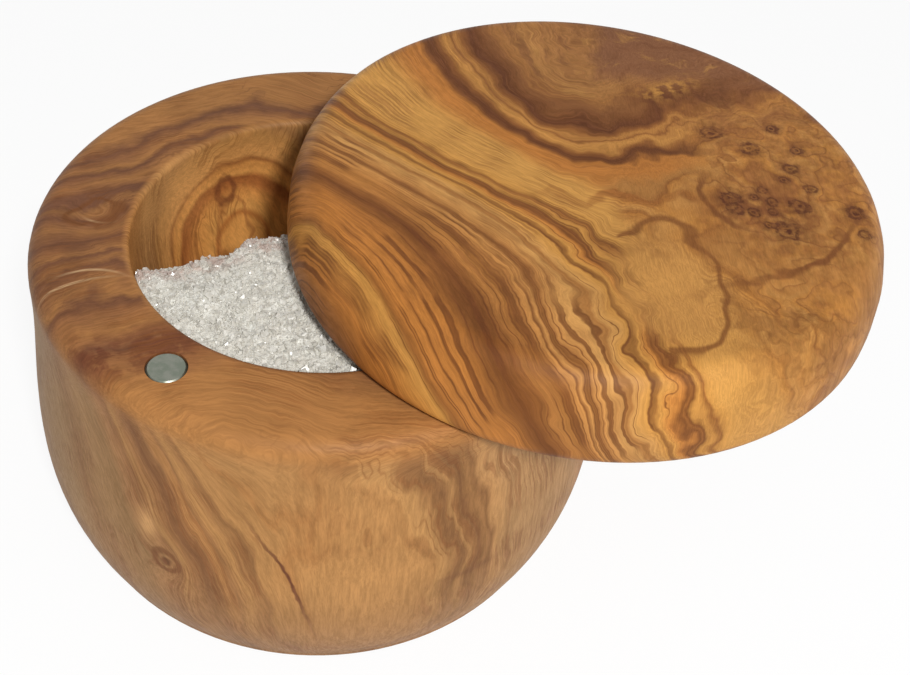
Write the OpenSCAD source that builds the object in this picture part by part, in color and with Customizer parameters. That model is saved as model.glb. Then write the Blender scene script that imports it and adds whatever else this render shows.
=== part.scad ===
// Turned salt keeper: a one-piece body with a round bowl, and a thick disc lid that
// swivels about an upright pin in the rim and is held shut by a pair of disc magnets.
// Millimetres, +Z up. The origin is the centre of the base, on the surface it stands on.
// +X points the way the lid is swung out, and -Y is the front.

/* [Body] */
// Height of the body from its base to the flat rim
body_height = 66.8; // [50:0.1:90]
// Radius of the body where it meets the base
foot_radius = 52; // [48:0.1:56]
// Largest radius of the barrel
belly_radius = 57.6; // [56:0.1:64]
// Height of the largest radius above the base
belly_height = 25; // [18:0.5:32]
// Radius of the barrel just under the rim's rounded shoulder
rim_radius = 55; // [52:0.1:58]
// How quickly the barrel fills out above the base
foot_fullness = 2.2; // [1.6:0.1:3]
// Rounding of the shoulder between rim and barrel
shoulder_round = 4; // [1:0.1:6]
// Rounding of the edge round the base
base_round = 2.5; // [0.5:0.1:4]

/* [Bowl] */
// Radius of the bowl's mouth at the rim
bowl_radius = 35.4; // [28:0.1:36]
// How far the bowl's axis lies from the body's, towards the magnet, so that the rim is widest at the pin
bowl_offset = 2; // [0:0.1:3]
// Depth of the bowl below the rim
bowl_depth = 46; // [30:0.5:48]
// Radius of the flat at the bottom of the bowl, which meets the wall in a large round
bowl_floor_radius = 9; // [4:0.5:14]
// Rounding of the edge round the bowl's mouth
mouth_round = 1.4; // [0.3:0.1:1.4]

/* [Lid] */
// Radius of the lid
lid_radius = 55.4; // [52:0.1:60]
// Thickness of the lid
lid_thickness = 18.2; // [17.6:0.1:22]
// Rounding of the lid's lower edge
lid_lower_round = 3.2; // [1:0.1:5]
// Height of the rounded upper edge
lid_upper_round_height = 12.5; // [6:0.1:12.5]
// Width of the rounded upper edge, seen from above
lid_upper_round_width = 6.5; // [3:0.1:8]
// Gap between the rim and the underside of the lid
lid_gap = 0.2; // [0.1:0.05:0.5]
// Angle that the lid is swung open, as the photo shows it
lid_open_angle = 63.5; // [0:0.5:180]

/* [Pivot pin] */
// Distance of the pin and of the magnets from the body's axis
fitting_radius = 45.6; // [43:0.1:47]
// Direction of the rim magnet from the body's axis, seen from above; the pin is opposite
magnet_direction = 235; // [180:1:270]
// Diameter of the steel pin
pin_diameter = 5; // [3:0.5:6]
// Length of pin set in the body
pin_depth_in_body = 22; // [12:0.5:30]
// Length of pin that stands up into the lid
pin_depth_in_lid = 11; // [6:0.5:12]
// Chamfer on each end of the pin
pin_chamfer = 0.5; // [0.2:0.1:1]
// Radial clearance on which the lid turns
pin_running_clearance = 0.05; // [0.01:0.01:0.1]
// Radial clearance round the glued end of the pin
pin_glued_clearance = 0.03; // [0.01:0.01:0.1]
// Gap over the top of the pin in the lid's blind hole
pin_end_gap = 0.5; // [0.3:0.1:2]

/* [Magnets] */
// Diameter of each disc magnet
magnet_diameter = 7; // [5:0.5:10]
// Thickness of each disc magnet
magnet_thickness = 3; // [2:0.5:5]
// Chamfer round the outer face of each magnet
magnet_chamfer = 0.35; // [0.1:0.05:0.5]
// Radial clearance of a magnet in its pocket
magnet_clearance = 0.1; // [0.05:0.01:0.2]
// How far each magnet's face lies below the wood round it
magnet_recess = 0.05; // [0.02:0.01:0.2]

/* [Glue] */
// Thickness of the bed of cured glue under each magnet and under the pin
glue_thickness = 0.4; // [0.2:0.1:1]

/* [Salt] */
// How far the salt's flat front part lies below the rim
salt_drop = 1.5; // [1:0.1:8]
// Gap between the salt and the wall of the bowl
salt_clearance = 0.15; // [0.1:0.05:0.5]
// Distance behind the body's axis where the heap starts to fall away
salt_crest_distance = 2; // [-10:0.5:12]
// Direction of the heap's crest, turned from the X axis
salt_crest_turn = 23; // [-45:1:45]
// Angle of the heap's fall towards the back
salt_slope = 50; // [25:1:60]

/* [Hidden] */
// Facets round a turned shape, and steps along a profile curve
around = 120;
curve_steps = 12;
round_steps = 8;
// What a cutting shape runs past the face it cuts
overrun = 1;

shoulder_z = body_height - shoulder_round;
lid_z = body_height + lid_gap;
pin_x = -fitting_radius * cos(magnet_direction);
pin_y = -fitting_radius * sin(magnet_direction);
magnet_x = fitting_radius * cos(magnet_direction);
magnet_y = fitting_radius * sin(magnet_direction);
pin_bore_radius = pin_diameter / 2 + pin_glued_clearance;
pin_turning_radius = pin_diameter / 2 + pin_running_clearance;
pin_bore_depth = pin_depth_in_body + glue_thickness;
pin_top_z = body_height + pin_depth_in_lid;
pin_turning_depth = pin_depth_in_lid + pin_end_gap - lid_gap;
pocket_radius = magnet_diameter / 2 + magnet_clearance;
pocket_depth = magnet_recess + magnet_thickness + glue_thickness;

// Radius of the barrel at height z: full below the belly, easing in to the rim above it
function barrel_radius(z) = z < belly_height
    ? belly_radius - (belly_radius - foot_radius) * pow((belly_height - z) / belly_height, foot_fullness)
    : rim_radius + (belly_radius - rim_radius) * (1 + cos(180 * (z - belly_height) / (shoulder_z - belly_height))) / 2;

// Points of a quarter ellipse about [cx, cz], at even turns of its slope from angle a0 to a1
function quarter(cx, cz, width, height, a0, a1) =
    [for (i = [0 : round_steps]) let (turn = a0 + (a1 - a0) * i / round_steps,
            a = atan2(height * sin(turn), width * cos(turn)))
        [cx + width * cos(a), cz + height * sin(a)]];

// The bowl's wall, a quarter ellipse from the flat floor up to the mouth, grown by extra
function bowl_wall(extra) =
    [for (i = [0 : curve_steps]) let (a = -90 + 90 * i / curve_steps)
        [bowl_floor_radius + (bowl_radius - bowl_floor_radius + extra) * cos(a),
         body_height - mouth_round + (bowl_depth - mouth_round + extra) * sin(a)]];

// Half section of the turned body, without the bowl
module body_section() {
    foot_step = (shoulder_z - base_round) / (2 * curve_steps);
    barrel = [for (i = [0 : 2 * curve_steps]) let (z = base_round + i * foot_step) [barrel_radius(z), z]];
    foot_corner = barrel_radius(base_round) - base_round;
    polygon(concat(
        [[0, 0]],
        quarter(foot_corner, base_round, base_round, base_round, -90, 0),
        [for (i = [1 : len(barrel) - 2]) barrel[i]],
        quarter(rim_radius - shoulder_round, shoulder_z, shoulder_round, shoulder_round, 0, 90),
        [[0, body_height]]));
}

// Half section of the space inside the bowl, with the rounded mouth and a run past the rim
module bowl_section() {
    mouth = [for (i = [1 : round_steps]) let (a = 180 - 90 * i / round_steps)
        [bowl_radius + mouth_round + mouth_round * cos(a), body_height - mouth_round + mouth_round * sin(a)]];
    polygon(concat(
        [[0, body_height - bowl_depth]],
        bowl_wall(0),
        mouth,
        [[bowl_radius + mouth_round, body_height + overrun], [0, body_height + overrun]]));
}

// Moves what is drawn on the body's axis to the bowl's axis
module at_bowl_axis() {
    translate([bowl_offset * cos(magnet_direction), bowl_offset * sin(magnet_direction), 0]) children();
}

// Blind hole going down from height z
module hole_down(x, y, z, radius, depth) {
    translate([x, y, z - depth]) cylinder(r = radius, h = depth + overrun, $fn = around);
}

// Turned block with the bowl, the pin's hole and the magnet's pocket
module body() {
    color([0.68, 0.45, 0.24])
    difference() {
        rotate_extrude($fn = around) body_section();
        at_bowl_axis() rotate_extrude($fn = around) bowl_section();
        hole_down(pin_x, pin_y, body_height, pin_bore_radius, pin_bore_depth);
        hole_down(magnet_x, magnet_y, body_height, pocket_radius, pocket_depth);
    }
}

// Half section of the lid: small round below, tall soft round above
module lid_section() {
    upper_z = lid_thickness - lid_upper_round_height;
    polygon(concat(
        [[0, 0]],
        quarter(lid_radius - lid_lower_round, lid_lower_round, lid_lower_round, lid_lower_round, -90, 0),
        quarter(lid_radius - lid_upper_round_width, upper_z, lid_upper_round_width,
            lid_upper_round_height, 0, 90),
        [[0, lid_thickness]]));
}

// Puts what is drawn for the closed lid where the open lid holds it, turned about the pin
module swung_open() {
    translate([pin_x, pin_y, 0]) rotate([0, 0, lid_open_angle]) translate([-pin_x, -pin_y, 0]) children();
}

// Thick disc with the blind hole it turns on and the magnet's pocket, both in its underside
module lid() {
    color([0.72, 0.49, 0.26])
    swung_open()
    difference() {
        translate([0, 0, lid_z]) rotate_extrude($fn = around) lid_section();
        translate([pin_x, pin_y, lid_z - overrun])
            cylinder(r = pin_turning_radius, h = pin_turning_depth + overrun, $fn = around);
        translate([magnet_x, magnet_y, lid_z - overrun])
            cylinder(r = pocket_radius, h = pocket_depth + overrun, $fn = around);
    }
}

// Steel pin with a chamfer on each end, standing in the body's blind hole
module pivot_pin() {
    pin_length = pin_depth_in_body + pin_depth_in_lid;
    radius = pin_diameter / 2;
    color([0.72, 0.73, 0.74])
    translate([pin_x, pin_y, body_height - pin_depth_in_body])
        rotate_extrude($fn = around)
            polygon([[0, 0], [radius - pin_chamfer, 0], [radius, pin_chamfer],
                [radius, pin_length - pin_chamfer], [radius - pin_chamfer, pin_length], [0, pin_length]]);
}

// One disc magnet, its outer face up at height 0
module disc_magnet() {
    radius = magnet_diameter / 2;
    rotate_extrude($fn = around)
        polygon([[0, -magnet_thickness], [radius, -magnet_thickness], [radius, -magnet_chamfer],
            [radius - magnet_chamfer, 0], [0, 0]]);
}

// Magnet let into the rim, its face up
module body_magnet() {
    color([0.60, 0.63, 0.60])
    translate([magnet_x, magnet_y, body_height - magnet_recess]) disc_magnet();
}

// Mating magnet in the underside of the lid, its face down
module lid_magnet() {
    color([0.60, 0.63, 0.60])
    swung_open()
    translate([magnet_x, magnet_y, lid_z + magnet_recess]) mirror([0, 0, 1]) disc_magnet();
}

// Flat bed of cured glue that fills the bottom of a hole
module glue_bed(radius) {
    color([0.80, 0.72, 0.50]) cylinder(r = radius, h = glue_thickness, $fn = around);
}

// Glue under the rim magnet
module body_magnet_glue() {
    translate([magnet_x, magnet_y, body_height - pocket_depth]) glue_bed(pocket_radius);
}

// Glue over the lid magnet
module lid_magnet_glue() {
    swung_open()
    translate([magnet_x, magnet_y, lid_z + pocket_depth - glue_thickness]) glue_bed(pocket_radius);
}

// Glue under the pin
module pivot_pin_glue() {
    translate([pin_x, pin_y, body_height - pin_bore_depth]) glue_bed(pin_bore_radius);
}

// Loose salt: level in front, falling away behind the crest
module salt() {
    top_z = body_height - salt_drop;
    reach = bowl_radius * 2;
    color([0.90, 0.89, 0.87])
    difference() {
        at_bowl_axis()
            rotate_extrude($fn = around)
                intersection() {
                    polygon(concat(
                        [[0, body_height - bowl_depth + salt_clearance]],
                        bowl_wall(-salt_clearance),
                        [[0, body_height - mouth_round]]));
                    square([bowl_radius, top_z]);
                }
        rotate([0, 0, salt_crest_turn])
            translate([-reach, salt_crest_distance, top_z])
                rotate([-salt_slope, 0, 0]) cube([2 * reach, 2 * reach, reach]);
    }
}

body();
lid();
pivot_pin();
body_magnet();
lid_magnet();
body_magnet_glue();
lid_magnet_glue();
pivot_pin_glue();
salt();
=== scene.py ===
import bmesh
import bpy
import random
from math import radians
from mathutils import Euler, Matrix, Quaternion, Vector


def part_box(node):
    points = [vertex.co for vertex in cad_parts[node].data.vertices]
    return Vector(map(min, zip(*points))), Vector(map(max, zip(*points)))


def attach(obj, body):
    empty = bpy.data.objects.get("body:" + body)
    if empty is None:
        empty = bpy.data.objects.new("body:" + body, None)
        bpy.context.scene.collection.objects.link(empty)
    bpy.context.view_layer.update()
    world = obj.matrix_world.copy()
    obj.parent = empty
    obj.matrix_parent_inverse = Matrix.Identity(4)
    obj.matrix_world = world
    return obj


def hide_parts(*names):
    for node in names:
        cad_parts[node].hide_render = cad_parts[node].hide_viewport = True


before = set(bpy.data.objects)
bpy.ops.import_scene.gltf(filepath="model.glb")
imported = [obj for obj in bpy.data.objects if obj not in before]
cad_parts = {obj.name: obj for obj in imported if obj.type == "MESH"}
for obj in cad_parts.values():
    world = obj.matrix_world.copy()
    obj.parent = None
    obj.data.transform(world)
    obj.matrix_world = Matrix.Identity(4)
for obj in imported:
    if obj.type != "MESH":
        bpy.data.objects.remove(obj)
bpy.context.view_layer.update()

# Camera: the photograph looks down on the keeper from the front, close enough to show perspective.
# It is aimed so that the middle of the body lands left of the centre of the picture.
picture_width, picture_height = 910, 675
sensor_width = 36.0
lens_pixels = 1250.0
camera_distance = 0.2609
camera_elevation = radians(45.65)
camera_roll = radians(1.48)
body_middle = Vector((0.0, 0.0, 0.035))
body_middle_pixel = (324.9, 344.2)

bpy.ops.object.camera_add()
camera = bpy.context.object
camera.name = "camera"
camera.data.sensor_width = sensor_width
camera.data.lens = lens_pixels / picture_width * sensor_width
camera.data.clip_start = 0.01
towards_camera = Quaternion((1, 0, 0), -camera_elevation) @ Vector((0, -1, 0))
camera.location = body_middle + towards_camera * camera_distance
sight_line = Vector((body_middle_pixel[0] - picture_width / 2,
                     picture_height / 2 - body_middle_pixel[1], -lens_pixels))
aim = (-towards_camera).to_track_quat("-Z", "Y")
roll = Quaternion((0, 0, 1), camera_roll)
camera.rotation_mode = "QUATERNION"
camera.rotation_quaternion = aim @ roll @ sight_line.rotation_difference(Vector((0, 0, -1)))
bpy.context.scene.camera = camera

# Light: one bright lamp close to the camera, a little to its right, and an even pale surround.
# The surround is white where it is seen, by the camera, in gloss or through clear salt.
lamp_place = (0.105, -0.445, 0.525)
lamp_width = 0.08
lamp_power = 3.8
surround_light = 0.42
surround_seen = 1.0

bpy.ops.object.light_add(type="AREA", location=lamp_place)
lamp = bpy.context.object
lamp.name = "lamp"
lamp.data.shape = "DISK"
lamp.data.size = lamp_width
lamp.data.energy = lamp_power
lamp.rotation_mode = "QUATERNION"
lamp.rotation_quaternion = (body_middle - lamp.location).to_track_quat("-Z", "Y")


def seen_directly(nodes, links):
    rays = nodes.new("ShaderNodeLightPath")
    seen = rays.outputs["Is Camera Ray"]
    for kind in ("Is Glossy Ray", "Is Transmission Ray"):
        either = nodes.new("ShaderNodeMath")
        either.operation = "MAXIMUM"
        links.new(seen, either.inputs[0])
        links.new(rays.outputs[kind], either.inputs[1])
        seen = either.outputs[0]
    return seen


world = bpy.data.worlds.new("surround")
bpy.context.scene.world = world
world.use_nodes = True
nodes, links = world.node_tree.nodes, world.node_tree.links
surround = nodes["Background"]
surround.inputs["Color"].default_value = (1.0, 1.0, 1.0, 1.0)
strength = nodes.new("ShaderNodeMapRange")
strength.inputs["To Min"].default_value = surround_light
strength.inputs["To Max"].default_value = surround_seen
links.new(seen_directly(nodes, links), strength.inputs["Value"])
links.new(strength.outputs["Result"], surround.inputs["Strength"])

# Floor: a plain white sheet that the keeper stands on. It looks white where it is seen, under
# a shadow that stays pale.
floor_width = 4.0
sheet_colour = (0.9, 0.9, 0.9, 1.0)
sheet_roughness = 0.9
plain_white_share = 0.87

bpy.ops.mesh.primitive_plane_add(size=floor_width)
floor = bpy.context.object
floor.name = "floor"
floor_white = bpy.data.materials.new("floor_white")
floor_white.use_nodes = True
nodes, links = floor_white.node_tree.nodes, floor_white.node_tree.links
sheet = nodes["Principled BSDF"]
sheet.inputs["Base Color"].default_value = sheet_colour
sheet.inputs["Roughness"].default_value = sheet_roughness
white = nodes.new("ShaderNodeEmission")
whiteness = nodes.new("ShaderNodeMath")
whiteness.operation = "MULTIPLY"
whiteness.inputs[1].default_value = plain_white_share
links.new(seen_directly(nodes, links), whiteness.inputs[0])
lit_and_white = nodes.new("ShaderNodeMixShader")
links.new(whiteness.outputs[0], lit_and_white.inputs["Fac"])
links.new(sheet.outputs["BSDF"], lit_and_white.inputs[1])
links.new(white.outputs["Emission"], lit_and_white.inputs[2])
links.new(lit_and_white.outputs["Shader"], nodes["Material Output"].inputs["Surface"])
floor.data.materials.append(floor_white)


# Body: one block of olive wood, turned on a lathe, hollowed to a round bowl, sanded and oiled.
# Its growth layers stand upright, nearly square to the view, so the front shows a broad plain
# face, with close bands where the layers meet the turned surface on either side.
def new_material(name):
    global tree
    material = bpy.data.materials.new(name)
    material.use_nodes = True
    tree = material.node_tree
    return material, tree.nodes["Principled BSDF"]


def feed(socket, value):
    if isinstance(value, bpy.types.NodeSocket):
        tree.links.new(value, socket)
    else:
        socket.default_value = value


def calc(operation, a, b=0.0, c=0.0):
    node = tree.nodes.new("ShaderNodeMath")
    node.operation = operation
    feed(node.inputs[0], a)
    feed(node.inputs[1], b)
    feed(node.inputs[2], c)
    return node.outputs[0]


def add(a, b):
    return calc("ADD", a, b)


def times(a, b):
    return calc("MULTIPLY", a, b)


def ease(value, low, high, at_low=0.0, at_high=1.0):
    node = tree.nodes.new("ShaderNodeMapRange")
    node.interpolation_type = "SMOOTHSTEP"
    feed(node.inputs["Value"], value)
    node.inputs["From Min"].default_value = low
    node.inputs["From Max"].default_value = high
    node.inputs["To Min"].default_value = at_low
    node.inputs["To Max"].default_value = at_high
    return node.outputs["Result"]


def noise(place, per_mm, detail=1.0, rough=0.5, dimensions="3D"):
    node = tree.nodes.new("ShaderNodeTexNoise")
    node.noise_dimensions = dimensions
    feed(node.inputs["W" if dimensions == "1D" else "Vector"], place)
    node.inputs["Scale"].default_value = per_mm
    node.inputs["Detail"].default_value = detail
    node.inputs["Roughness"].default_value = rough
    return node.outputs["Fac"]


def wander(place, per_mm, reach, detail=1.0):
    return times(add(noise(place, per_mm, detail, 0.55), -0.5), reach)


def millimetres():
    place = tree.nodes.new("ShaderNodeTexCoord").outputs["Object"]
    node = tree.nodes.new("ShaderNodeVectorMath")
    node.operation = "SCALE"
    feed(node.inputs[0], place)
    node.inputs["Scale"].default_value = 1000.0
    return node.outputs["Vector"]


def about(place, centre, radii, turn=0.0):
    shift = tree.nodes.new("ShaderNodeMapping")
    shift.vector_type = "TEXTURE"
    feed(shift.inputs["Vector"], place)
    shift.inputs["Location"].default_value = centre
    shift.inputs["Rotation"].default_value = (0.0, 0.0, radians(turn))
    shift.inputs["Scale"].default_value = radii
    distance = tree.nodes.new("ShaderNodeVectorMath")
    distance.operation = "LENGTH"
    feed(distance.inputs[0], shift.outputs["Vector"])
    return distance.outputs["Value"]


def mound(place, centre, radii, turn=0.0, height=1.0):
    distance = about(place, centre, radii, turn)
    return times(calc("EXPONENT", times(times(distance, distance), -1.0)), height)


def linear(colour):
    def channel(value):
        value = value / 255
        return value / 12.92 if value <= 0.04045 else ((value + 0.055) / 1.055) ** 2.4
    return (channel(colour[0]), channel(colour[1]), channel(colour[2]), 1.0)


def blend(amount, below, above):
    node = tree.nodes.new("ShaderNodeMix")
    node.data_type = "RGBA"
    feed(node.inputs[0], amount)
    feed(node.inputs[6], below if isinstance(below, bpy.types.NodeSocket) else linear(below))
    feed(node.inputs[7], above if isinstance(above, bpy.types.NodeSocket) else linear(above))
    return node.outputs[2]


def shade(colour, factor):
    node = tree.nodes.new("ShaderNodeVectorMath")
    node.operation = "SCALE"
    feed(node.inputs[0], colour)
    feed(node.inputs["Scale"], factor)
    return node.outputs["Vector"]


def share_between(value, low, high):
    node = tree.nodes.new("ShaderNodeMapRange")
    feed(node.inputs["Value"], value)
    node.inputs["From Min"].default_value = low
    node.inputs["From Max"].default_value = high
    return node.outputs["Result"]


def vein_chart(layer, first, last, stops):
    node = tree.nodes.new("ShaderNodeValToRGB")
    feed(node.inputs["Fac"], share_between(layer, first, last))
    marks = node.color_ramp.elements
    marks.remove(marks[-1])
    marks[0].position = (stops[0][0] - first) / (last - first)
    marks[0].color = linear(stops[0][1])
    for depth, colour in stops[1:]:
        marks.new((depth - first) / (last - first)).color = linear(colour)
    return node.outputs["Color"]


def line_where(value, level, inner, outer, strength=1.0):
    off_the_line = calc("ABSOLUTE", add(value, -level))
    return ease(off_the_line, inner, outer, strength, 0.0)


def patchy(place, per_mm, detail, rough, low, high, at_low=0.0, at_high=1.0):
    return ease(noise(place, per_mm, detail, rough), low, high, at_low, at_high)


def ring_lines(layer, per_mm, width, start):
    wave = noise(add(layer, start), per_mm, 1.0, 0.5, "1D")
    return line_where(wave, 0.5, 0.0, width)


def fine_relief(finish, height, strength, depth_in_metres):
    rise = tree.nodes.new("ShaderNodeBump")
    rise.inputs["Strength"].default_value = strength
    rise.inputs["Distance"].default_value = depth_in_metres
    feed(rise.inputs["Height"], height)
    feed(finish.inputs["Normal"], rise.outputs["Normal"])


def oiled_wood(finish, place, grain, layer, colour, lined):
    late_wood_brown = (120, 72, 36)
    fine = times(ring_lines(layer, 1.5, 0.11, 7.0), patchy(place, 0.09, 1.0, 0.5, 0.42, 0.62, 0.0, 0.5))
    colour = blend(times(fine, lined), colour, late_wood_brown)
    streaks = noise(grain, 2.2, 3.0, 0.72)
    fibres = noise(grain, 9.0, 2.0, 0.6)
    light = times(ease(streaks, 0.3, 0.7, 0.84, 1.13), ease(fibres, 0.25, 0.75, 0.93, 1.07))
    light = times(light, patchy(place, 0.055, 2.0, 0.5, 0.3, 0.7, 0.92, 1.07))
    feed(finish.inputs["Base Color"], shade(colour, light))
    feed(finish.inputs["Roughness"], ease(streaks, 0.3, 0.7, 0.58, 0.46))
    finish.inputs["Specular IOR Level"].default_value = 0.12
    fine_relief(finish, add(streaks, fibres), 0.10, 0.0002)


golden, tan, orange, dark = (186, 132, 64), (184, 136, 76), (172, 110, 50), (90, 48, 20)
brown, umber, russet = (132, 82, 38), (104, 60, 26), (126, 74, 42)
rim_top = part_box("body")[1][2] * 1000
bowl_axis = (-1.15, -1.64, 0.0)
inside_mouth, outside_mouth = 35.2, 37.0
knot_place = (-27.4, -50.5, 30.0)

body_wood, finish = new_material("body_olive_wood")
place = millimetres()
parts = tree.nodes.new("ShaderNodeSeparateXYZ")
feed(parts.inputs[0], place)
across, depth, height = parts.outputs["X"], parts.outputs["Y"], parts.outputs["Z"]
drawn_out = tree.nodes.new("ShaderNodeMapping")
feed(drawn_out.inputs["Vector"], place)
drawn_out.inputs["Scale"].default_value = (1.0, 1.0, 0.35)
drawn_out = drawn_out.outputs["Vector"]
left = ease(times(across, -1.0), -6.0, 22.0)
layer = add(times(depth, -1.0), times(across, 0.10))
layer = add(layer, times(calc("SMOOTH_MIN", across, -8.0, 10.0), 0.30))
layer = add(layer, times(times(calc("SMOOTH_MAX", add(height, -35.0), -7.0, 10.0), left), 0.42))
layer = add(layer, mound(place, knot_place, (3.4, 14.0, 5.0), 0.0, -4.5))
layer = add(layer, mound(place, (-43.0, 0.0, 66.0), (6.0, 6.0, 12.0), 0.0, -7.0))
layer = add(layer, add(wander(place, 0.05, 4.0), -2.4))
layer = add(layer, add(wander(drawn_out, 0.20, 2.2), wander(drawn_out, 0.6, 0.5)))
face, face_line, face_dark = (166, 120, 70), (136, 94, 56), (116, 76, 44)
left_bands = vein_chart(layer, -60.0, 60.0, [
    (4.0, (150, 114, 72)), (14.0, (152, 116, 74)), (20.0, (138, 100, 60)), (25.0, (154, 116, 74)),
    (30.0, (142, 106, 66)), (33.0, (156, 112, 70)), (35.6, face_line), (37.0, (162, 118, 70)),
    (39.0, (146, 102, 60)), (40.4, face_line), (41.4, face_dark), (42.4, (124, 84, 48)), (43.2, face_line),
    (43.9, (160, 112, 64)), (45.0, (160, 112, 64)), (45.6, face_line), (46.1, face), (47.2, face),
    (47.6, face_line), (48.0, face), (48.6, face_dark), (49.0, face), (51.0, face), (51.6, (156, 108, 60)),
    (52.2, face), (58.0, (168, 122, 72))])
right_bands = vein_chart(layer, -60.0, 60.0, [
    (-40.0, brown), (-20.0, tan), (10.0, golden), (20.0, orange), (30.0, (164, 124, 80)),
    (43.6, (164, 124, 80)), (44.0, (140, 100, 60)), (44.5, (166, 124, 78)), (45.8, (174, 128, 78)),
    (46.3, (118, 78, 44)),
    (46.7, (160, 116, 68)), (47.1, (112, 72, 40)), (47.5, (146, 104, 60)), (47.9, (108, 70, 40)),
    (48.3, (142, 100, 58)), (48.7, (162, 118, 70)), (49.1, (112, 74, 42)), (49.5, (150, 106, 62)),
    (49.9, (122, 82, 46)), (50.3, (180, 134, 80)), (50.8, face), (51.2, (150, 106, 60)), (51.6, face),
    (58.0, (168, 122, 72))])
back_bands = vein_chart(layer, -65.0, 20.0, [
    (-61.0, tan), (-56.0, golden), (-54.0, brown), (-52.5, tan), (-47.0, orange), (-43.0, golden),
    (-41.0, brown), (-39.5, tan), (-33.0, (158, 108, 58)), (-31.5, russet), (-30.0, tan), (-25.0, orange),
    (-20.0, (150, 104, 58)), (-18.5, brown), (-17.0, tan), (-10.0, golden), (-7.5, brown), (-6.0, tan),
    (1.0, (158, 112, 64)), (2.2, brown), (3.4, (164, 118, 70)), (10.0, (158, 116, 70))])
rim_layer = add(layer, times(times(across, 0.35), ease(depth, -10.0, 20.0)))
rim_layer = add(rim_layer, add(wander(place, 0.07, 12.0, 2.0), wander(place, 0.30, 4.5, 3.0)))
rim_light, rim_mid, rim_dark = (160, 110, 62), (138, 92, 56), (106, 68, 46)
rim_bands = vein_chart(rim_layer, -60.0, 60.0, [
    (-50.0, rim_light), (-46.0, rim_light), (-42.0, rim_dark), (-39.5, rim_mid), (-36.0, rim_light),
    (-33.5, rim_dark), (-31.0, rim_mid), (-28.0, rim_light), (-25.0, rim_mid), (-23.6, rim_dark),
    (-21.5, rim_dark), (-19.5, rim_light), (-17.0, rim_mid), (-15.5, rim_dark), (-13.0, rim_mid),
    (-9.0, rim_light), (-5.0, rim_mid), (-3.4, rim_dark), (-1.0, rim_mid), (2.0, rim_light), (3.6, rim_dark),
    (6.0, rim_light), (8.5, rim_dark), (11.0, rim_mid), (14.0, rim_light), (16.5, rim_dark), (19.0, rim_mid),
    (24.0, rim_light), (28.0, rim_mid), (31.0, rim_dark), (34.0, rim_mid), (40.0, rim_light)])
rim_lines = ring_lines(rim_layer, 0.45, 0.05, 3.0)
rim_lines = times(rim_lines, patchy(place, 0.10, 2.0, 0.5, 0.48, 0.64, 0.0, 0.6))
rim_bands = blend(times(rim_lines, ease(depth, -38.0, -22.0, 0.3, 1.0)), rim_bands, (108, 66, 38))
colour = blend(ease(across, -2.0, 6.0), left_bands, right_bands)
colour = blend(ease(height, 12.0, 34.0, 0.6, 0.0), colour, (154, 112, 68))
colour = blend(ease(depth, -12.0, 8.0), colour, back_bands)
branch_hook = mound(place, (27.5, -50.5, 27.6), (5.5, 7.0, 1.1))
colour = blend(times(branch_hook, 0.7), colour, face_dark)
rim_shade = mound(place, (-49.0, -3.0, rim_top), (15.0, 26.0, 12.0))
rim_shade = times(rim_shade, patchy(place, 0.12, 3.0, 0.5, 0.36, 0.6, 0.4, 1.0))
rim_bands = blend(times(rim_shade, 0.6), rim_bands, (108, 70, 48))
colour = blend(ease(height, 60.0, 66.2), colour, rim_bands)

# the growth rings cut through by the bowl, round one point of its back wall, with a small eye
ring = add(about(place, (-19.0, 25.0, 40.0), (1.0, 1.0, 1.05)), wander(place, 0.10, 5.0))
# the bowl's colours are set lighter than the same wood outside: partly its own golden colour, partly painted
# light against the shade inside the bowl
bowl_bands = vein_chart(ring, 0.0, 60.0, [
    (0.0, (198, 140, 74)), (5.6, (196, 136, 70)), (6.5, (164, 102, 50)), (7.6, (202, 144, 76)),
    (11.5, (194, 132, 68)), (14.0, (160, 98, 50)), (15.6, (142, 84, 42)), (16.8, (198, 138, 72)),
    (18.6, (188, 128, 66)), (19.4, (146, 92, 48)), (20.4, (192, 136, 76)), (24.0, (176, 126, 70)),
    (27.0, (146, 104, 62)), (31.0, (172, 126, 76)), (36.0, brown), (42.0, orange), (50.0, brown)])
from_axis = about(place, bowl_axis, (1.0, 1.0, 10000.0))
lobes = add(about(place, (-19.8, 23.6, 46.0), (3.4, 5.0, 7.5)), wander(place, 0.22, 1.2))
bowl_bands = blend(line_where(lobes, 1.0, 0.04, 0.22, 0.6), bowl_bands, (150, 94, 50))
# painted light: the bowl's left wall near the mouth is made lighter, where it turns away from the lamp
painted_light_near_mouth = times(ease(height, 45.0, 62.0), ease(across, -33.0, -20.0, 1.0, 0.0))
bowl_bands = blend(times(painted_light_near_mouth, 0.45), bowl_bands, (222, 164, 100))
colour = blend(ease(from_axis, inside_mouth, outside_mouth, 1.0, 0.0), colour, bowl_bands)
bowl_eye = add(about(place, (-21.7, 26.0, 53.9), (2.0, 3.0, 3.0)), wander(place, 0.5, 0.7))
colour = blend(line_where(bowl_eye, 0.9, 0.1, 0.5, 0.75), colour, (112, 62, 36))

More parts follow.
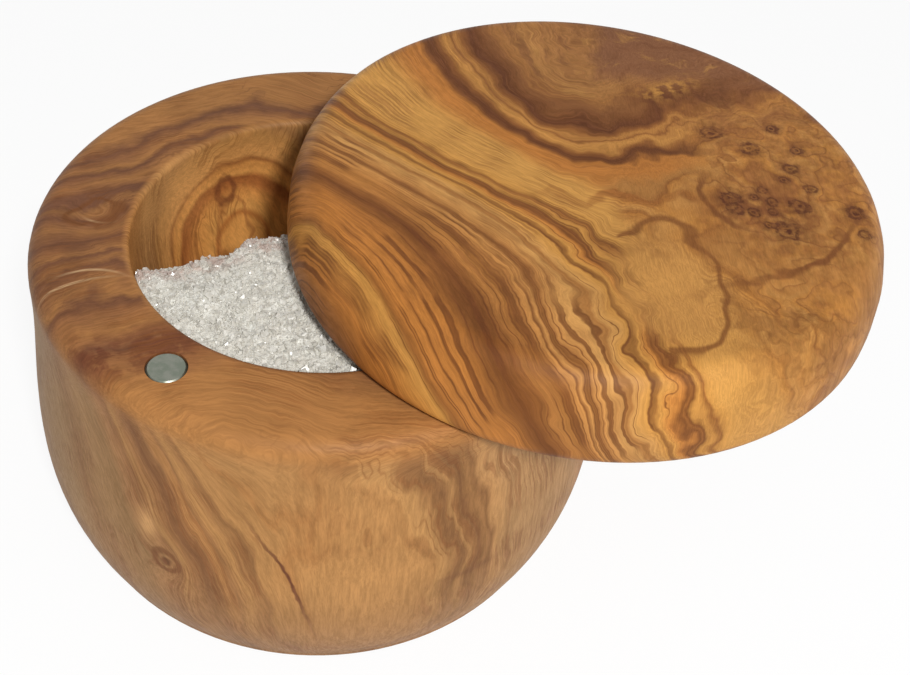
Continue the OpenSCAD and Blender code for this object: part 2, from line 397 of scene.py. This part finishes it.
# the knot low on the left of the front, a pale fleck above it, and the fine check beside them
knot = add(about(place, knot_place, (2.3, 4.0, 2.6)), wander(place, 0.4, 0.6))
colour = blend(line_where(knot, 1.0, 0.1, 0.45, 0.7), colour, umber)
colour = blend(ease(knot, 0.2, 0.6, 0.8, 0.0), colour, dark)
fleck = mound(place, (-30.3, -48.5, 38.0), (1.6, 4.0, 4.2))
colour = blend(times(fleck, 0.9), colour, (198, 150, 96))
check_side = calc("SMOOTH_MIN", add(times(height, -0.6), 16.0), add(times(height, -0.25), 3.5), 2.0)
check = add(add(across, times(check_side, -1.0)), wander(place, 0.35, 1.2))
check = line_where(check, 0.0, 0.15, 0.55, 0.9)
check = times(check, mound(place, (-5.0, -57.0, 34.0), (12.0, 14.0, 15.0)))
colour = blend(check, colour, (92, 48, 30))
# painted shade: the bottom of the front is blended darker and greyer where the body rounds under
low_painted_shade = mound(place, (0.0, -56.0, 6.0), (24.0, 14.0, 13.0))
colour = blend(times(low_painted_shade, 0.45), colour, (134, 98, 66))

# the dark stain round the magnet and on towards the left
stain = add(mound(place, (-27.0, -32.0, rim_top), (9.0, 5.0, 3.0), 20.0),
            mound(place, (-38.0, -35.0, rim_top), (6.5, 3.5, 3.0), -35.0))
stain = times(stain, patchy(place, 0.32, 3.0, 0.6, 0.36, 0.58, 0.15, 1.0))
colour = blend(calc("MINIMUM", stain, 0.8), colour, (98, 54, 34))

# three thin pale scratches across the left of the rim, and a dark curl of the grain beside them
scratch_pale = (196, 160, 118)
for centre, bow, middle, length in (((-35.0, -35.3), 20.0, (-45.0, -18.6), 6.0),
                                    ((-40.5, -24.9), 11.0, (-42.0, -14.2), 4.5),
                                    ((-41.5, 5.0), 6.0, (-42.5, -0.7), 2.0)):
    arc = about(place, (*centre, rim_top), (bow, bow, 40.0))
    scratch = line_where(arc, 1.0, 0.1 / bow, 0.45 / bow, 0.8)
    scratch = times(scratch, mound(place, (*middle, rim_top), (length, length, 4.0)))
    colour = blend(scratch, colour, scratch_pale)
curl = add(about(place, (-43.5, 1.5, rim_top), (4.2, 3.2, 6.0), 35.0), wander(place, 0.22, 1.6))
colour = blend(line_where(curl, 1.0, 0.05, 0.35, 0.7), colour, umber)

lean = add(across, times(times(add(height, -35.0), left), 0.5))
upright = tree.nodes.new("ShaderNodeCombineXYZ")
feed(upright.inputs["X"], times(layer, 0.8))
feed(upright.inputs["Y"], times(lean, ease(height, 58.0, 66.0, 0.6, 0.1)))
feed(upright.inputs["Z"], times(height, 0.07))
oiled_wood(finish, place, upright.outputs["Vector"], layer, colour, ease(layer, 50.0, 52.5, 1.0, 0.0))


def only(piece):
    bpy.ops.object.select_all(action="DESELECT")
    piece.select_set(True)
    bpy.context.view_layer.objects.active = piece


def apply_modifier(piece, kind, **settings):
    only(piece)
    modifier = piece.modifiers.new(kind.lower(), kind)
    for setting, value in settings.items():
        setattr(modifier, setting, value)
    bpy.ops.object.modifier_apply(modifier=modifier.name)


def merged_copy(node, name):
    only(bpy.data.objects[node])
    bpy.ops.object.duplicate()
    piece = bpy.context.object
    piece.name = name
    bpy.ops.object.mode_set(mode="EDIT")
    bpy.ops.mesh.select_all(action="SELECT")
    bpy.ops.mesh.remove_doubles(threshold=1e-6)
    bpy.ops.object.mode_set(mode="OBJECT")
    bpy.ops.mesh.customdata_custom_splitnormals_clear()
    piece.data.materials.clear()
    return piece


def smooth_turning(node, name, material):
    sharpest_round = radians(35)
    piece = merged_copy(node, name)
    bpy.ops.object.shade_smooth_by_angle(angle=sharpest_round)
    apply_modifier(piece, "WEIGHTED_NORMAL", keep_sharp=True)
    piece.data.materials.append(material)
    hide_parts(node)
    return piece


body = smooth_turning("body", "turned_body", body_wood)
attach(body, "base_body")


# Magnets: two small nickel-plated discs, glued into blind holes in the rim and in the lid.
# Handling has dulled the plating, and salt has left it a little green and cloudy.
def dress(node, material):
    for slot in bpy.data.objects[node].material_slots:
        slot.material = material


magnet_nickel, finish = new_material("magnet_nickel")
place = millimetres()
cloud = noise(place, 0.7, 3.0, 0.6)
speck = noise(place, 5.0, 2.0, 0.6)
feed(finish.inputs["Base Color"], blend(ease(cloud, 0.35, 0.65), (116, 122, 109), (132, 134, 123)))
feed(finish.inputs["Roughness"], ease(add(times(cloud, 0.6), times(speck, 0.4)), 0.35, 0.65, 0.30, 0.46))
finish.inputs["Metallic"].default_value = 0.85
fine_relief(finish, speck, 0.08, 0.0001)
dress("body_magnet", magnet_nickel)
dress("lid_magnet", magnet_nickel)


# Glue: the clear beds that hold the magnets and the pin, cured hard and slightly amber.
cured_glue, finish = new_material("cured_glue")
place = millimetres()
feed(finish.inputs["Base Color"], blend(noise(place, 1.2, 2.0), (176, 142, 92), (214, 190, 142)))
feed(finish.inputs["Roughness"], ease(noise(place, 2.5, 2.0), 0.3, 0.7, 0.22, 0.40))
dress("body_magnet_glue", cured_glue)
dress("lid_magnet_glue", cured_glue)
dress("pivot_pin_glue", cured_glue)


# Pivot pin: a cut length of bright steel rod, set upright in the rim, on which the lid swings.
# It was ground lengthwise, and the turning lid has polished fine rings round it.
pin_steel, finish = new_material("pin_steel")
place = millimetres()
rings = tree.nodes.new("ShaderNodeMapping")
feed(rings.inputs["Vector"], place)
rings.inputs["Scale"].default_value = (0.15, 0.15, 6.0)
turned = noise(rings.outputs["Vector"], 2.0, 2.0, 0.6)
feed(finish.inputs["Base Color"], blend(turned, (168, 170, 172), (190, 191, 190)))
feed(finish.inputs["Roughness"], ease(turned, 0.3, 0.7, 0.20, 0.36))
finish.inputs["Metallic"].default_value = 1.0
dress("pivot_pin", pin_steel)


# Salt: coarse white sea salt, heaped against the near side of the bowl and scooped away behind.
# The heap is one lumpy mass with a dip in its crest, and loose grains lie all over it.
face_size = 0.0006
facing_up = 0.3
heap = merged_copy("salt", "salt_heap")
apply_modifier(heap, "REMESH", mode="VOXEL", voxel_size=face_size)

scoops = [(Vector((-0.0235, -0.0085, 0.065)), Vector((0.0, -0.0018, -0.0020)), 0.0095),
          (Vector((-0.0125, -0.0045, 0.065)), Vector((-0.0012, 0.0018, 0.0)), 0.0055),
          (Vector((0.008, 0.005, 0.065)), Vector((0.0, -0.0022, -0.0006)), 0.011),
          (Vector((-0.020, -0.022, 0.065)), Vector((0.0, 0.0, -0.0007)), 0.009),
          (Vector((0.012, -0.018, 0.065)), Vector((0.0, 0.0, -0.0006)), 0.010)]
for vertex in heap.data.vertices:
    if vertex.normal.z > facing_up:
        for middle, push, reach in scoops:
            distance = (vertex.co - middle).length / reach
            if distance < 1.0:
                vertex.co += push * (1 - distance * distance) ** 2
apply_modifier(heap, "REMESH", mode="VOXEL", voxel_size=face_size)

open_top = heap.vertex_groups.new(name="open_top")
for vertex in heap.data.vertices:
    if vertex.normal.z > facing_up:
        open_top.add([vertex.index], 1.0, "REPLACE")
lumps = bpy.data.textures.new("salt_lumps", "CLOUDS")
lumps.noise_scale = 0.0045
lumps.noise_depth = 2
packed_grains = bpy.data.textures.new("packed_grains", "VORONOI")
packed_grains.noise_scale = 0.0011
apply_modifier(heap, "DISPLACE", texture=lumps, vertex_group="open_top", direction="NORMAL",
               strength=0.0022, mid_level=0.62)
apply_modifier(heap, "DISPLACE", texture=packed_grains, vertex_group="open_top", direction="NORMAL",
               strength=-0.0007, mid_level=0.1)


# the salt is faintly pink along its crest
def crest_tint(place, colour):
    pinkish = (182, 158, 146)
    parts = tree.nodes.new("ShaderNodeSeparateXYZ")
    feed(parts.inputs[0], place)
    behind = add(parts.outputs["Y"], times(parts.outputs["X"], -0.42))
    tinged = times(ease(behind, -4.0, 1.5), ease(behind, 3.0, 6.0, 1.0, 0.0))
    tinged = times(tinged, patchy(place, 0.5, 2.0, 0.5, 0.38, 0.62, 0.1, 0.8))
    return blend(tinged, colour, pinkish)


salt_white, finish = new_material("coarse_salt")
place = millimetres()
cloud = noise(place, 0.22, 3.0, 0.6)
grit = noise(place, 2.2, 2.0, 0.6)
colour = blend(ease(cloud, 0.35, 0.65), (203, 199, 188), (214, 212, 203))
colour = blend(ease(grit, 0.50, 0.70, 0.0, 0.3), colour, (176, 169, 156))
feed(finish.inputs["Base Color"], crest_tint(place, colour))
feed(finish.inputs["Roughness"], ease(grit, 0.3, 0.7, 0.30, 0.60))
finish.inputs["Subsurface Weight"].default_value = 0.3
finish.inputs["Subsurface Radius"].default_value = (1.0, 1.0, 1.0)
finish.inputs["Subsurface Scale"].default_value = 0.0008
fine_relief(finish, grit, 0.5, 0.0003)
heap.data.materials.append(salt_white)
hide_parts("salt")
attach(heap, "base_body")

salt_clear, finish = new_material("salt_grain")
place = millimetres()
cloud = noise(place, 0.9, 2.0, 0.6)
colour = blend(ease(cloud, 0.35, 0.65), (202, 198, 187), (218, 215, 206))
feed(finish.inputs["Base Color"], crest_tint(place, colour))
feed(finish.inputs["Roughness"], patchy(place, 2.4, 1.0, 0.5, 0.3, 0.7, 0.20, 0.50))
finish.inputs["IOR"].default_value = 1.54
finish.inputs["Transmission Weight"].default_value = 0.15

grain_kinds = 6
grains_strewn = 12000
smallest_grain, largest_extra = 0.0003, 0.0007
steepest_for_grains = 0.25
full_turn = 6.28
top_limit = 0.0667

grain_shapes = []
for seed in range(grain_kinds):
    bpy.ops.object.select_all(action="DESELECT")
    bpy.ops.mesh.primitive_cube_add(size=1.0)
    grain = bpy.context.object
    bpy.ops.object.mode_set(mode="EDIT")
    bpy.ops.transform.vertex_random(offset=0.34, uniform=0.4, normal=0.2, seed=seed)
    bpy.ops.object.mode_set(mode="OBJECT")
    grain_shapes.append(grain)

chance = random.Random(7)
grains = bmesh.new()
tops = [face for face in heap.data.polygons if face.normal.z > steepest_for_grains]
made = 0
for face in chance.sample(tops, grains_strewn):
    size = smallest_grain + largest_extra * chance.random() ** 4
    centre = heap.matrix_world @ face.center
    nearest = body.closest_point_on_mesh(centre)[1]
    if (centre - nearest).length < size or centre.z + size > top_limit:
        continue
    turn = Euler([chance.uniform(0, full_turn) for axis in range(3)])
    stretch = Vector((size * chance.uniform(0.7, 1.25), size * chance.uniform(0.6, 1.0), size))
    shape = grain_shapes[made % grain_kinds].data
    corners = []
    for corner in shape.vertices:
        corners.append(grains.verts.new(centre + turn.to_matrix() @ (corner.co * stretch)))
    for side in shape.polygons:
        grains.faces.new([corners[i] for i in side.vertices])
    made += 1
loose_grains_mesh = bpy.data.meshes.new("salt_grains")
grains.to_mesh(loose_grains_mesh)
grains.free()
loose_grains = bpy.data.objects.new("salt_grains", loose_grains_mesh)
bpy.context.collection.objects.link(loose_grains)
loose_grains.data.materials.append(salt_clear)
for grain in grain_shapes:
    bpy.data.objects.remove(grain)
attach(loose_grains, "base_body")


# Lid: a second piece of olive wood, a thick turned disc with soft edges that lies on the rim.
# Its layers bend round a rise beyond the back edge and round a burl at the right, which is
# full of small dark eyes.
lid_wood, finish = new_material("lid_olive_wood")
place = millimetres()
parts = tree.nodes.new("ShaderNodeSeparateXYZ")
feed(parts.inputs[0], place)
across, depth, height = parts.outputs["X"], parts.outputs["Y"], parts.outputs["Z"]
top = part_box("lid")[1][2] * 1000
wild = ease(across, 15.0, 70.0, 0.22, 1.3)
crooked = add(wander(place, 0.06, 9.0), add(wander(place, 0.16, 4.6), wander(place, 0.55, 0.9)))
crooked = times(crooked, wild)
bend = times(calc("TANH", times(add(depth, 4.0), 1 / 26)), 33.5)
falling = times(add(add(across, bend), -21.5), 0.72)
falling = add(falling, times(add(height, -top), 0.45))
falling = add(falling, crooked)
rising = add(add(times(across, -0.24), times(depth, 0.61)), add(crooked, 32.4))
burl_reach = about(place, (88.0, -20.0, top), (1.0, 1.35, 1.6))
burl_layer = calc("SMOOTH_MIN", add(times(burl_reach, -0.36), add(crooked, 21.0)), 14.2, 3.0)
right_layer = calc("SMOOTH_MAX", rising, burl_layer, 5.0)
layer = calc("SMOOTH_MIN", falling, right_layer, 9.0)
pale = (190, 138, 70)
left_bands = vein_chart(layer, -45.0, 60.0, [
    (-40.0, brown), (-36.0, orange), (-31.5, golden), (-30.4, brown), (-29.2, orange), (-24.0, orange),
    (-21.8, brown), (-20.0, umber), (-18.4, brown), (-16.8, (168, 112, 56)), (-15.2, (150, 98, 46)),
    (-14.4, (170, 114, 58)), (-12.2, (180, 126, 68)), (-11.3, (116, 70, 32)), (-10.4, (174, 120, 64)),
    (-7.6, (186, 136, 76)), (-6.6, (140, 90, 44)), (-5.8, (184, 134, 74)), (-4.1, golden), (-3.4, umber),
    (-2.7, golden), (-1.4, orange), (-0.8, umber), (-0.3, brown), (0.2, umber), (0.8, golden), (2.2, brown),
    (2.7, golden), (5.0, pale), (12.5, pale), (16.0, orange)])
burl_gold, burl_tan, burl_brown = (172, 116, 54), (178, 126, 66), (130, 80, 36)
right_bands = vein_chart(layer, -45.0, 60.0, [
    (-1.0, umber), (0.6, burl_gold), (3.2, burl_tan), (3.9, burl_brown), (4.5, burl_gold), (6.3, burl_gold),
    (6.9, (120, 72, 32)), (7.5, burl_tan), (9.2, burl_gold), (9.8, burl_brown), (10.5, burl_tan),
    (12.2, burl_gold), (12.9, burl_brown), (14.0, (160, 110, 56)), (16.5, orange), (18.6, orange),
    (19.6, umber), (20.8, dark), (22.0, brown), (22.9, (178, 124, 62)), (23.8, (178, 124, 62)),
    (24.3, brown), (24.9, (174, 120, 60)), (25.8, brown), (27.2, dark), (28.6, umber),
    (30.2, (124, 78, 40)), (32.0, (148, 98, 50)), (35.0, (162, 112, 60)), (38.5, (158, 108, 58)),
    (42.0, (150, 100, 54))])
on_right = calc("MAXIMUM", ease(layer, 14.5, 16.5), ease(add(falling, times(right_layer, -1.0)), -2.0, 2.0))
colour = blend(on_right, left_bands, right_bands)

# ragged streaks behind the dark bend, along the layers
ragged_place = tree.nodes.new("ShaderNodeCombineXYZ")
feed(ragged_place.inputs["X"], times(layer, 0.30))
feed(ragged_place.inputs["Y"], times(across, 0.09))
feed(ragged_place.inputs["Z"], times(depth, 0.03))
ragged = noise(ragged_place.outputs["Vector"], 1.0, 4.0, 0.65)
behind_bend = ease(layer, 29.0, 33.0)
far_patch = ease(add(across, wander(place, 0.12, 12.0, 3.0)), 50.0, 57.0)
far_patch = times(far_patch, ease(add(depth, wander(place, 0.10, 10.0, 3.0)), 23.0, 30.0))
colour = blend(times(far_patch, 0.9), colour, (122, 78, 50))
colour = blend(times(behind_bend, ease(ragged, 0.52, 0.64, 0.0, 0.6)), colour, (110, 66, 36))
colour = blend(times(behind_bend, ease(ragged, 0.32, 0.44, 0.6, 0.0)), colour, (174, 124, 66))
broad_vein = mound(place, (24.0, -42.0, top), (15.0, 3.2, 30.0), -52.0)
colour = blend(times(broad_vein, 0.7), colour, umber)
far_streak = mound(place, (77.0, 27.0, top), (10.0, 1.6, 30.0), 21.0)
colour = blend(times(far_streak, 0.7), colour, umber)
wedge = mound(place, (58.5, 21.0, top), (1.7, 4.5, 30.0), 6.0)
colour = blend(times(wedge, 0.65), colour, umber)
pale_streaks = mound(place, (66.0, 24.0, top), (6.0, 2.4, 30.0), 28.0)
colour = blend(times(pale_streaks, patchy(place, 0.5, 2.0, 0.5, 0.38, 0.6)), colour, golden)

# the burl: soft swirls, mottled brown and gold, and the streaks and clouds round it
swirls = times(noise(place, 0.07, 3.0, 0.5), 60.0)
swirl_bands = vein_chart(swirls, 10.0, 50.0, [
    (16.0, (140, 88, 42)), (21.0, burl_gold), (23.6, (156, 104, 52)), (24.2, (126, 78, 36)),
    (24.9, burl_gold), (28.0, burl_tan), (30.6, (162, 110, 54)), (31.3, (128, 80, 38)), (32.0, burl_tan),
    (35.0, burl_gold), (38.0, (134, 84, 40)), (40.0, (156, 104, 52))])
burled = add(about(place, (85.0, -5.0, top), (1.0, 1.3, 4.0)), wander(place, 0.12, 10.0))
burled = ease(burled, 13.0, 25.0, 1.0, 0.0)
low_corner = mound(place, (80.0, -38.0, top), (17.0, 12.0, 30.0))
colour = blend(calc("MAXIMUM", times(burled, 0.9), times(low_corner, 0.85)), colour, swirl_bands)
colour = blend(times(burled, patchy(place, 0.35, 3.0, 0.6, 0.42, 0.60, 0.0, 0.6)), colour, (134, 84, 40))
burl_core = mound(place, (78.5, -12.5, top), (11.0, 8.0, 30.0))
burl_core = times(burl_core, patchy(place, 0.3, 4.0, 0.6, 0.36, 0.56, 0.2, 1.0))
colour = blend(times(burl_core, 0.75), colour, (116, 66, 34))
above_burl = mound(place, (82.0, 17.0, top), (14.0, 7.0, 30.0), 25.0)
above_burl = times(above_burl, ease(ragged, 0.40, 0.58, 0.2, 1.0))
colour = blend(times(above_burl, 0.8), colour, (128, 80, 42))
dark_clouds = patchy(place, 0.13, 4.0, 0.6, 0.47, 0.58, 0.0, 0.75)
colour = blend(times(low_corner, dark_clouds), colour, (132, 86, 42))
pale_clouds = patchy(place, 0.11, 4.0, 0.6, 0.34, 0.44, 0.6, 0.0)
colour = blend(times(low_corner, pale_clouds), colour, (188, 136, 74))

# left of the burl: a pale island with a dark edge on its right and behind, and a smudge on it
line_brown = (112, 66, 30)
island = add(about(place, (55.5, -33.5, top), (10.0, 17.5, 20.0), -4.0), wander(place, 0.10, 0.8, 1.0))
island_edge = calc("ABSOLUTE", add(island, -1.0))
right_and_back = calc("MAXIMUM", ease(across, 51.0, 54.0), ease(depth, -26.0, -21.0))
island_edge = add(island_edge, add(1.0, times(right_and_back, -1.0)))
colour = blend(ease(island, 0.5, 1.1, 0.8, 0.0), colour, (182, 130, 68))
smudge = mound(place, (55.0, -24.0, top), (5.0, 5.5, 20.0))
smudge = times(smudge, patchy(place, 0.3, 2.0, 0.5, 0.35, 0.6, 0.3, 1.0))
colour = blend(times(smudge, 0.6), colour, (134, 88, 44))
colour = blend(ease(island_edge, 0.02, 0.10, 0.9, 0.0), colour, (120, 74, 34))

# single dark lines: a hook beside the eyes, a zigzag before them and a long line below them
hook = add(about(place, (74.0, -9.5, top), (7.2, 8.6, 20.0), 15.0), wander(place, 0.3, 0.25))
hook = times(line_where(hook, 1.0, 0.03, 0.14, 0.9), ease(across, 70.0, 74.0, 1.0, 0.0))
colour = blend(times(hook, ease(depth, -7.0, -1.0, 1.0, 0.1)), colour, line_brown)
zigzag = add(add(depth, 13.0), times(calc("PINGPONG", add(across, -45.0), 6.0), -0.7))
zigzag = line_where(add(zigzag, wander(place, 0.2, 5.0)), 0.0, 0.4, 1.6, 0.9)
zigzag = times(zigzag, mound(place, (53.0, -8.0, top), (14.0, 8.0, 20.0)))
colour = blend(zigzag, colour, (142, 88, 40))
low_line = calc("SMOOTH_MAX", add(times(across, 0.35), -56.5), add(times(across, 1.3), -137.0), 4.0)
low_line = add(add(depth, times(low_line, -1.0)), wander(place, 0.25, 4.0))
low_line = line_where(low_line, 0.0, 0.3, 1.4)
low_line = times(low_line, mound(place, (84.0, -25.0, top), (20.0, 16.0, 20.0)))
colour = blend(low_line, colour, line_brown)

# the eyes, each a dark dot in a ragged ring, as across, depth and radius
eyes = [(72.2, 9.8, 2.2), (78.9, 5.4, 1.9), (88.0, 5.4, 1.2), (84.8, 12.0, 1.3), (85.3, -0.4, 1.5),
        (83.1, -3.8, 1.2), (87.6, -6.3, 1.3), (71.9, -9.9, 2.0), (72.2, -12.8, 1.6), (78.3, -7.3, 1.1),
        (76.1, -9.3, 0.9), (79.4, -10.4, 1.3), (84.2, -11.5, 1.9), (75.3, -13.5, 1.2), (78.9, -13.4, 1.1),
        (80.5, -18.2, 2.4), (77.2, -17.0, 1.1), (94.4, -12.7, 1.8), (94.4, -18.8, 1.2)]
mottle = wander(place, 0.55, 1.5, 2.0)
eyed = 0.0
for x, y, radius in eyes:
    away = add(about(place, (x, y, top), (radius, radius, 3 * radius)), mottle)
    ring = line_where(away, 0.8, 0.10, 0.5, 0.9)
    eyed = calc("MAXIMUM", eyed, calc("MAXIMUM", ring, ease(away, 0.15, 0.5, 1.0, 0.0)))
    eyed = calc("MAXIMUM", eyed, ease(away, 0.9, 2.1, 0.5, 0.0))
flecked = patchy(place, 0.9, 3.0, 0.6, 0.38, 0.58, 0.65, 1.0)
colour = blend(times(eyed, flecked), colour, (78, 38, 16))

# thin dark ring lines, most of them on the left
thin = times(ring_lines(layer, 0.55, 0.06, 31.0), patchy(place, 0.05, 2.0, 0.5, 0.42, 0.56, 0.0, 0.8))
thin = times(thin, ease(layer, 2.0, 5.0, 1.0, 0.3))
colour = blend(thin, colour, (98, 54, 24))
fibre_lines = tree.nodes.new("ShaderNodeCombineXYZ")
feed(fibre_lines.inputs["X"], layer)
feed(fibre_lines.inputs["Y"], times(depth, 0.12))
feed(fibre_lines.inputs["Z"], times(across, ease(across, 50.0, 72.0, 0.03, 0.5)))
oiled_wood(finish, place, fibre_lines.outputs["Vector"], layer, colour, ease(across, 40.0, 60.0, 1.0, 0.4))

lid = smooth_turning("lid", "turned_lid", lid_wood)
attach(lid, "lid_body")

bpy.context.scene.view_settings.view_transform = "Standard"
